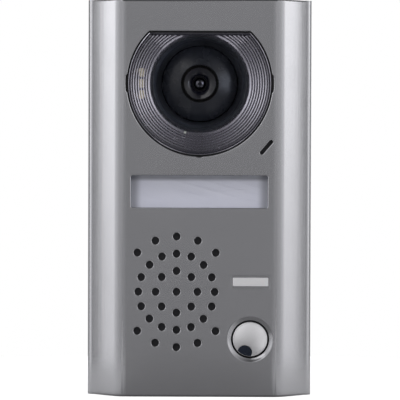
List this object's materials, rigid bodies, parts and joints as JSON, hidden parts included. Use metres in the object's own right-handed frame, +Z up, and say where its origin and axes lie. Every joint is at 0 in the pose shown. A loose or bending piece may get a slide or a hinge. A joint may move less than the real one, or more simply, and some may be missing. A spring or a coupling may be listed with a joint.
{
  "type": "door intercom panel",
  "caption": "Surface-mounted door intercom panel with a curved metal cover, tilting camera behind a round window, name window, speaker, microphone and call button.",
  "frame": {"origin": "centre of the panel on the wall plane, which is the back face of the wall bracket", "axes": "+Z up, +X to the right as seen from the front, +Y into the wall; the panel faces -Y"},
  "size_m": [0.098, 0.0285, 0.173],
  "materials": {
    "satin_cover": "fine metallic silver-grey paint, satin",
    "satin_chassis": "fine metallic silver-grey paint, satin",
    "zinc_steel": "zinc-plated sheet and screws",
    "bright_screw": "bright plated small screws",
    "clear_plastic": "clear polycarbonate",
    "diffuser_plastic": "ribbed silver-lavender reflector",
    "black_rubber": "soft black seal rubber",
    "black_gloss": "polished black plastic",
    "black_matte": "fine-textured black plastic",
    "lens_coated": "coated dark optical glass",
    "board_green": "green solder-masked board",
    "chip_black": "black moulded chip bodies",
    "led_clear": "clear moulded LED bodies with a yellow die",
    "sensor_clear": "water-clear light sensor",
    "white_card": "translucent white insert film",
    "white_plastic": "white moulded plastic",
    "light_guide": "clear acrylic light guide",
    "satin_steel": "satin stainless steel",
    "navy_gloss": "dark tinted gloss plastic",
    "spring_steel": "bright spring wire",
    "mesh_black": "black woven acoustic cloth",
    "capsule_alu": "drawn aluminium can",
    "cone_paper": "treated speaker cone",
    "magnet_iron": "magnet and its iron yoke",
    "wire_red": "insulated hook-up wire",
    "can_blue": "sleeved capacitor cans",
    "relay_blue": "sealed relay housing",
    "terminal_green": "green terminal housing",
    "brass_plated": "plated brass clamping screws"
  },
  "bodies": {
    "panel": {"front_cover": "satin_cover", "chassis": "satin_chassis", "perimeter_seal": "black_rubber", "wall_seal": "black_rubber", "wall_bracket": "zinc_steel", "security_screw": "satin_steel", "cover_screws": "bright_screw", "camera_window": "clear_plastic", "window_gasket": "black_rubber", "light_diffuser": "diffuser_plastic", "led_board": "board_green", "illumination_leds": "led_clear", "light_sensor": "sensor_clear", "lens_shroud": "black_gloss", "camera_bracket": "black_matte", "camera_screws": "bright_screw", "name_window": "clear_plastic", "name_card": "white_card", "name_light_guide": "light_guide", "name_tray": "white_plastic", "name_leds": "led_clear", "badge_plate": "satin_steel", "button_spring": "spring_steel", "button_guide": "black_matte", "guide_screws": "bright_screw", "call_switch": "chip_black", "mic_boot": "black_rubber", "microphone": "capsule_alu", "mic_mesh": "mesh_black", "mic_lead": "wire_red", "speaker_mesh": "mesh_black", "speaker_gasket": "black_rubber", "speaker_frame": "black_matte", "speaker_cone": "cone_paper", "speaker_magnet": "magnet_iron", "speaker_screws": "bright_screw", "speaker_leads": "wire_red", "main_board": "board_green", "board_screws": "bright_screw", "main_chips": "chip_black", "capacitors": "can_blue", "lock_relay": "relay_blue", "terminal_block": "terminal_green", "terminal_screws": "brass_plated"},
    "call_button": {"call_button_cap": "satin_steel", "call_button_lens": "navy_gloss", "button_clip": "spring_steel", "switch_plunger": "black_matte"},
    "camera": {"camera_ball": "black_gloss", "lens_barrel": "black_matte", "lens_ring": "black_gloss", "lens_glass": "lens_coated", "image_sensor": "chip_black", "sensor_board": "board_green"}
  },
  "joints": [
    {"name": "call_press", "type": "slide", "parent": "panel", "child": "call_button", "axis": [0, 1, 0], "range_m": [0, 0.0008], "stiffness_N_per_m": 1000, "springref_m": -0.001, "deforming": ["button_spring"]},
    {"name": "camera_tilt", "type": "hinge", "parent": "panel", "child": "camera", "pos_m": [0, -0.007, 0.0499], "axis": [1, 0, 0], "range_deg": [-10, 10]}
  ]
}
